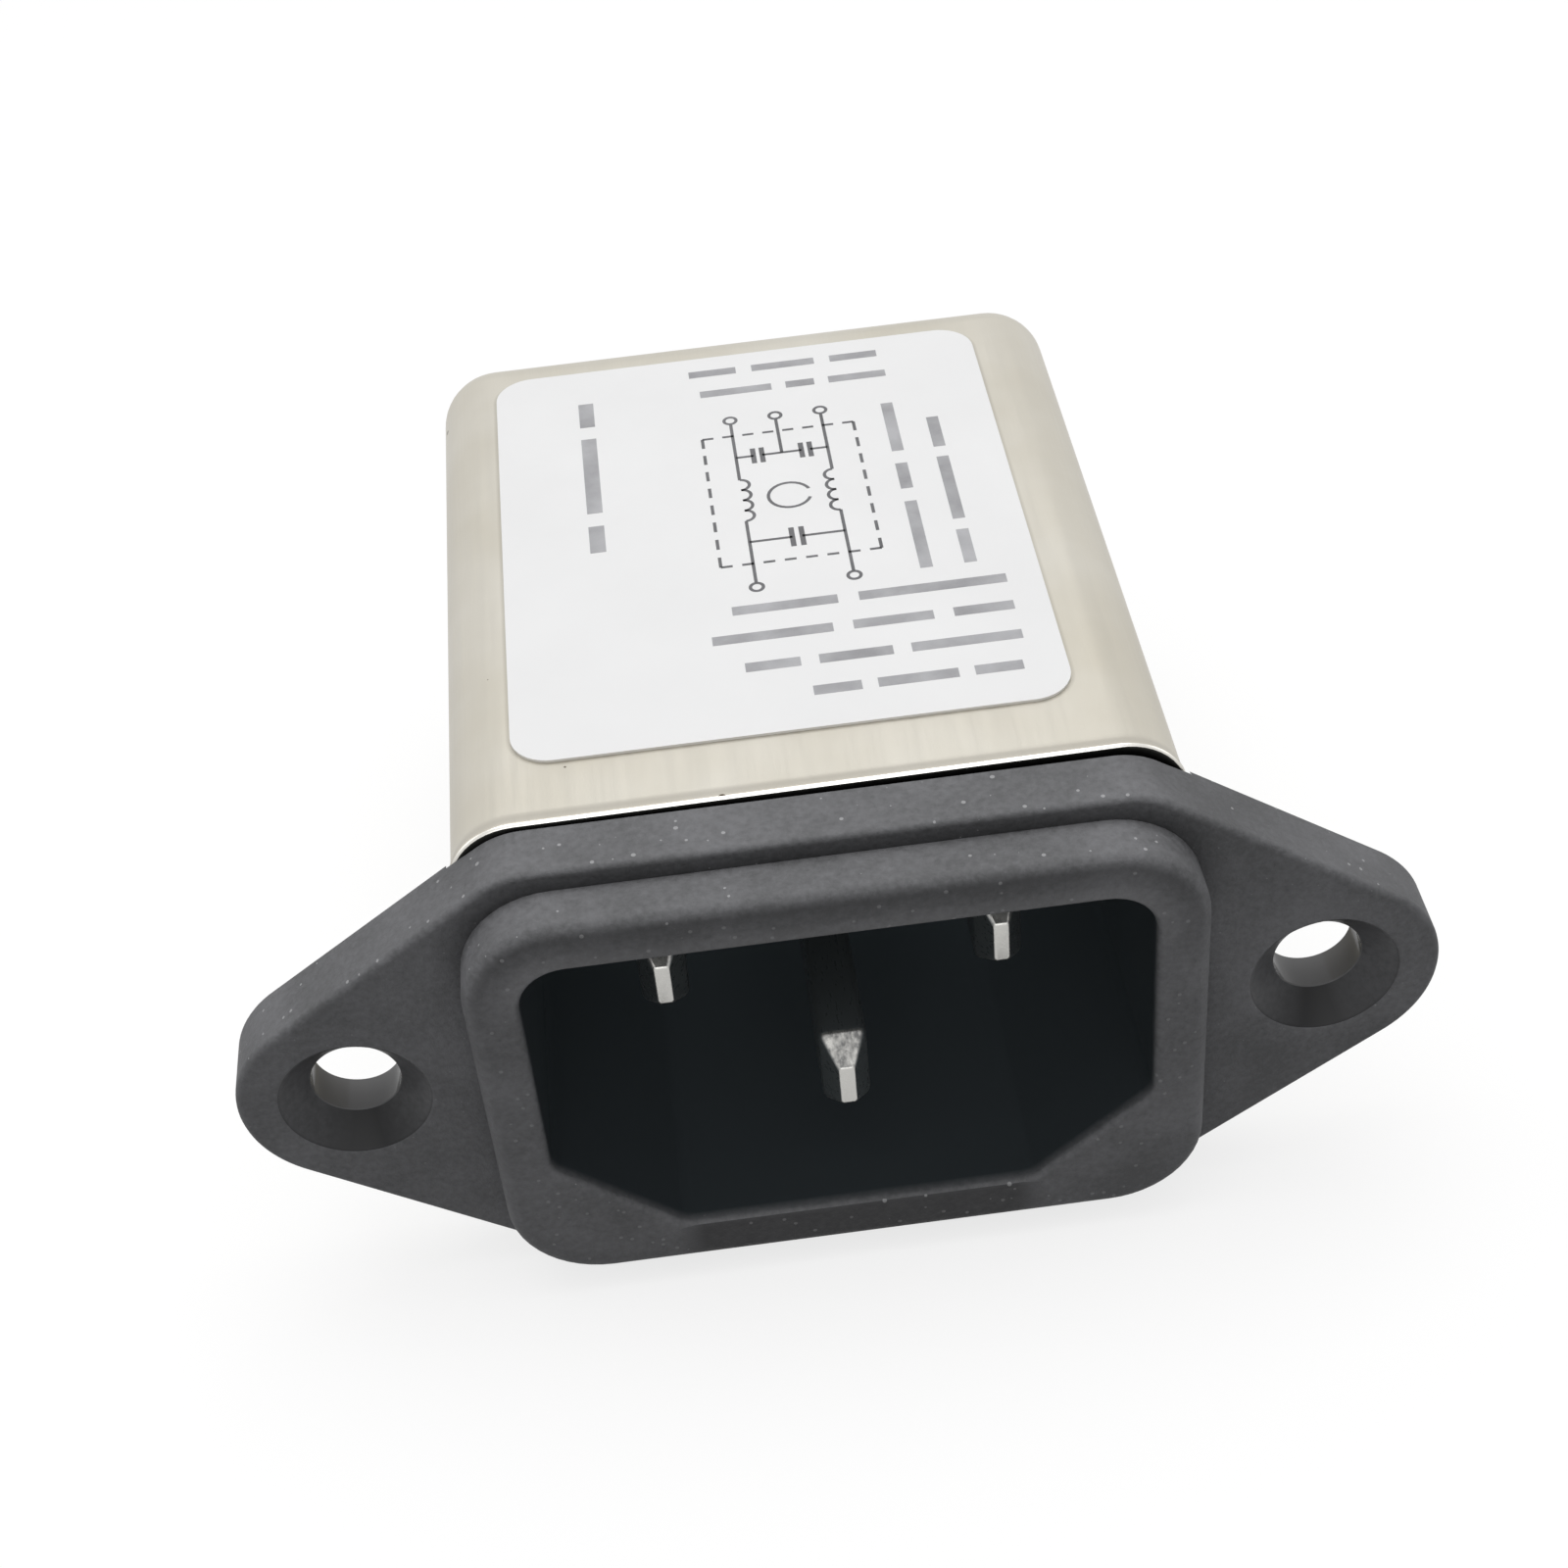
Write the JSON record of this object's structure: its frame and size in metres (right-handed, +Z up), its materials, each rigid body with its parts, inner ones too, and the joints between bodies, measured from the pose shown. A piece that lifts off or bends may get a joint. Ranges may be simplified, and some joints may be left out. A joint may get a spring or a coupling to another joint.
{
  "type": "power line filter",
  "caption": "Panel-mount mains filter: a black appliance inlet with an eared flange and flat pins, a drawn metal can holding the filter circuit, a label on top and blade tabs behind.",
  "frame": {"origin": "midway between the two screw holes, on the flange's rear face, where the panel lies", "axes": "+X to the right seen from the front, +Y backwards into the can, +Z up towards the label; the socket opens towards -Y"},
  "size_m": [0.0496, 0.0477, 0.0228],
  "materials": {
    "black_moulding": "fine spark-eroded matt moulding",
    "nickel_pin": "nickel-plated brass, drawn",
    "nickel_can": "nickel-plated drawn steel, satin",
    "label_film": "matt white printed film",
    "liner_film": "insulating paper",
    "board_laminate": "paper laminate",
    "ferrite": "coated ferrite",
    "copper_wire": "enamelled copper",
    "divider_plastic": "natural plastic",
    "film_case": "moulded box",
    "disc_coating": "dipped coating",
    "tinned_tab": "tin-plated brass",
    "bush_plastic": "matt moulding",
    "rivet_brass": "nickel-plated eyelet",
    "brown_wire": "insulated wire",
    "blue_wire": "insulated wire",
    "green_wire": "insulated wire"
  },
  "bodies": {
    "root": {"inlet_moulding": "black_moulding", "line_pin": "nickel_pin", "neutral_pin": "nickel_pin", "earth_pin": "nickel_pin", "shield_can": "nickel_can", "rating_label": "label_film", "can_liner": "liner_film", "circuit_board": "board_laminate", "choke_core": "ferrite", "choke_line_winding": "copper_wire", "choke_neutral_winding": "copper_wire", "choke_divider": "divider_plastic", "earth_choke_core": "ferrite", "earth_choke_winding": "copper_wire", "x_capacitor": "film_case", "y_capacitor_line": "disc_coating", "y_capacitor_neutral": "disc_coating", "line_tab": "tinned_tab", "neutral_tab": "tinned_tab", "line_bush": "bush_plastic", "neutral_bush": "bush_plastic", "earth_tab": "tinned_tab", "earth_rivet": "rivet_brass", "earth_tag": "tinned_tab", "line_lead": "brown_wire", "neutral_lead": "blue_wire", "earth_lead": "green_wire"}
  },
  "joints": []
}
